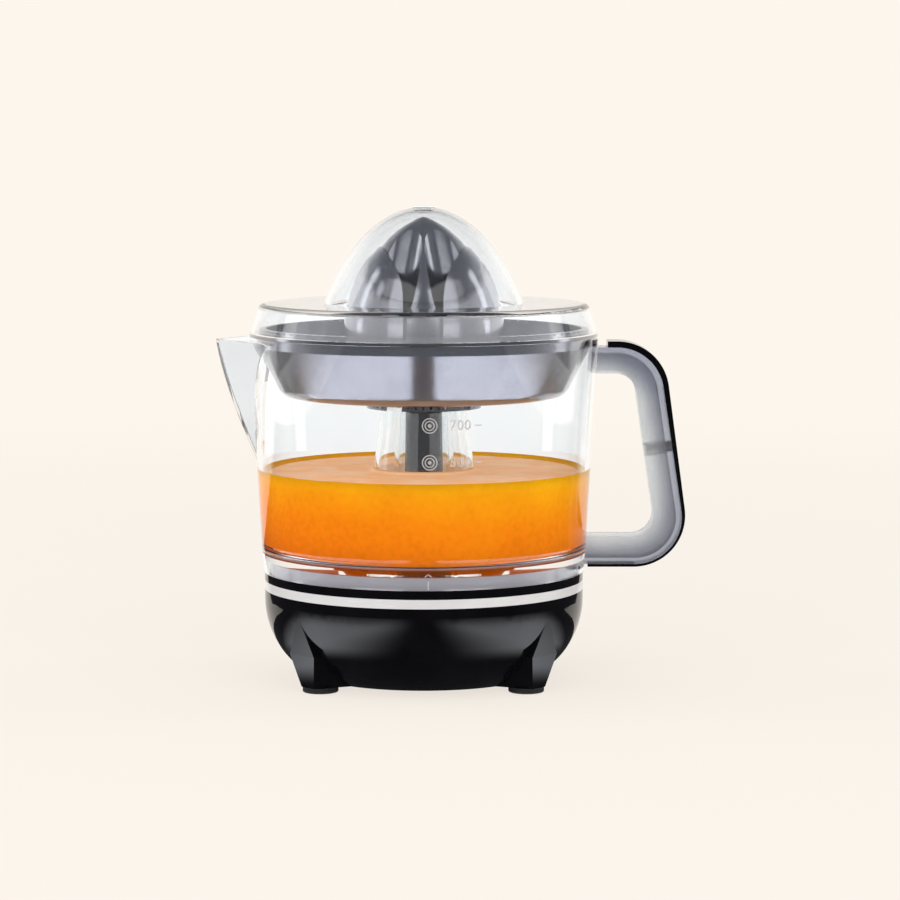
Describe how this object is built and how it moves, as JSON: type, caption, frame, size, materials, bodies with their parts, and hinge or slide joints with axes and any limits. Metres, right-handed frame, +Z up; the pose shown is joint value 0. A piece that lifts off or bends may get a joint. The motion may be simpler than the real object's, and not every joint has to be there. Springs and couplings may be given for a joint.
{
  "type": "citrus press juicer",
  "caption": "Electric citrus press: a clear jug with handle and spout on a black motor base, holding a slotted strainer, a turning ridged reamer and a clear domed lid",
  "frame": {"origin": "on the table plane under the middle of the outline; the reamer's axis is at x = -10.8 mm, y = 0", "axes": "+Z up along the reamer's axis, +X towards the handle, -X towards the spout, -Y towards the front with the scale marks"},
  "size_m": [0.1921, 0.1428, 0.1942],
  "materials": {
    "clear_plastic": "clear, glossy",
    "frosted_plastic": "clear with a frosted inside",
    "graphite_plastic": "glossy metallic graphite",
    "dark_nylon": "smooth, satin",
    "black_plastic": "high gloss black",
    "matt_black_plastic": "fine matt grain",
    "silver_trim": "bright brushed band",
    "silver_plastic": "silver-grey, satin",
    "foot_rubber": "matt",
    "seal_rubber": "matt",
    "steel": "turned",
    "bronze": "sintered",
    "white_nylon": "moulded",
    "zinc_plate": "zinc plated sheet",
    "copper": "enamelled wire",
    "ferrite": "sintered",
    "red_plastic": "moulded"
  },
  "bodies": {
    "base": {"base_housing": "black_plastic", "trim_ring": "silver_trim", "top_cover": "silver_plastic", "bottom_cover": "matt_black_plastic", "rubber_feet": "foot_rubber", "cover_screws": "steel", "top_screws": "steel", "plate_screws": "steel", "motor_screws": "steel", "shaft_seal": "seal_rubber", "cord_gland": "seal_rubber", "spindle_bush": "bronze", "gear_plate": "zinc_plate", "idler_pin": "steel", "motor_can": "zinc_plate", "motor_coil": "copper", "switch_body": "matt_black_plastic", "spindle_spring": "steel"},
    "jug": {"jug": "clear_plastic", "jug_handle": "frosted_plastic", "handle_grip": "black_plastic", "handle_screw": "steel"},
    "strainer": {"strainer_bowl": "graphite_plastic"},
    "sieve": {"pulp_sieve": "graphite_plastic"},
    "bearing": {"stem_bush": "dark_nylon"},
    "press": {"thrust_washer": "steel"},
    "reamer": {"drive_stem": "dark_nylon", "reamer_core": "graphite_plastic", "outer_cone": "graphite_plastic"},
    "lid": {"lid": "clear_plastic"},
    "plunger": {"spindle_plunger": "dark_nylon"},
    "spindle": {"drive_spindle": "steel", "output_gear": "white_nylon", "gear_clip": "steel"},
    "idler": {"idler_gear": "white_nylon"},
    "rotor": {"rotor_magnet": "ferrite", "motor_shaft": "steel", "motor_pinion": "bronze"},
    "lever": {"switch_lever": "steel"},
    "button": {"switch_button": "red_plastic"}
  },
  "joints": [
    {"name": "jug_lift", "type": "slide", "parent": "base", "child": "jug", "axis": [0, 0, 1], "range_m": [0, 0.05]},
    {"name": "strainer_lift", "type": "slide", "parent": "jug", "child": "strainer", "axis": [0, 0, 1], "range_m": [0, 0.1]},
    {"name": "sieve_lift", "type": "slide", "parent": "strainer", "child": "sieve", "axis": [0, 0, 1], "range_m": [0, 0.08]},
    {"name": "reamer_lift", "type": "slide", "parent": "sieve", "child": "bearing", "axis": [0, 0, 1], "range_m": [0, 0.085]},
    {"name": "lid_lift", "type": "slide", "parent": "bearing", "child": "lid", "axis": [0, 0, 1], "range_m": [0, 0.055]},
    {"name": "reamer_press", "type": "slide", "parent": "bearing", "child": "press", "axis": [0, 0, 1], "range_m": [-0.002, 0], "stiffness_N_per_m": 2000, "springref_m": 0.003},
    {"name": "reamer_spin", "type": "hinge", "parent": "press", "child": "reamer", "pos_m": [-0.01078, 0, 0.1435], "axis": [0, 0, 1], "continuous": true},
    {"name": "spindle_press", "type": "slide", "parent": "base", "child": "plunger", "axis": [0, 0, 1], "range_m": [-0.002, 0], "deforming": ["spindle_spring"]},
    {"name": "spindle_spin", "type": "hinge", "parent": "plunger", "child": "spindle", "pos_m": [-0.01078, 0, 0.027], "axis": [0, 0, 1], "continuous": true},
    {"name": "idler_spin", "type": "hinge", "parent": "base", "child": "idler", "pos_m": [0.00877, -0.02141, 0.025], "axis": [0, 0, 1], "continuous": true},
    {"name": "rotor_spin", "type": "hinge", "parent": "base", "child": "rotor", "pos_m": [-0.01078, -0.0285, 0.006], "axis": [0, 0, 1], "continuous": true},
    {"name": "switch_lever_tilt", "type": "hinge", "parent": "base", "child": "lever", "pos_m": [0.01747, 0, 0.0161], "axis": [0, 1, 0], "range_deg": [-7.5, 0]},
    {"name": "switch_button_press", "type": "slide", "parent": "base", "child": "button", "axis": [0, 0, 1], "range_m": [-0.0012, 0]}
  ],
  "couplings": [
    {"joint": "spindle_press", "follows": "reamer_press", "ratio": 1},
    {"joint": "switch_lever_tilt", "follows": "reamer_press", "rad_per_m": 58},
    {"joint": "switch_button_press", "follows": "reamer_press", "ratio": 0.6},
    {"joint": "spindle_spin", "follows": "reamer_spin", "ratio": 1},
    {"joint": "idler_spin", "follows": "reamer_spin", "ratio": -3.1429},
    {"joint": "rotor_spin", "follows": "reamer_spin", "ratio": 10.476}
  ]
}
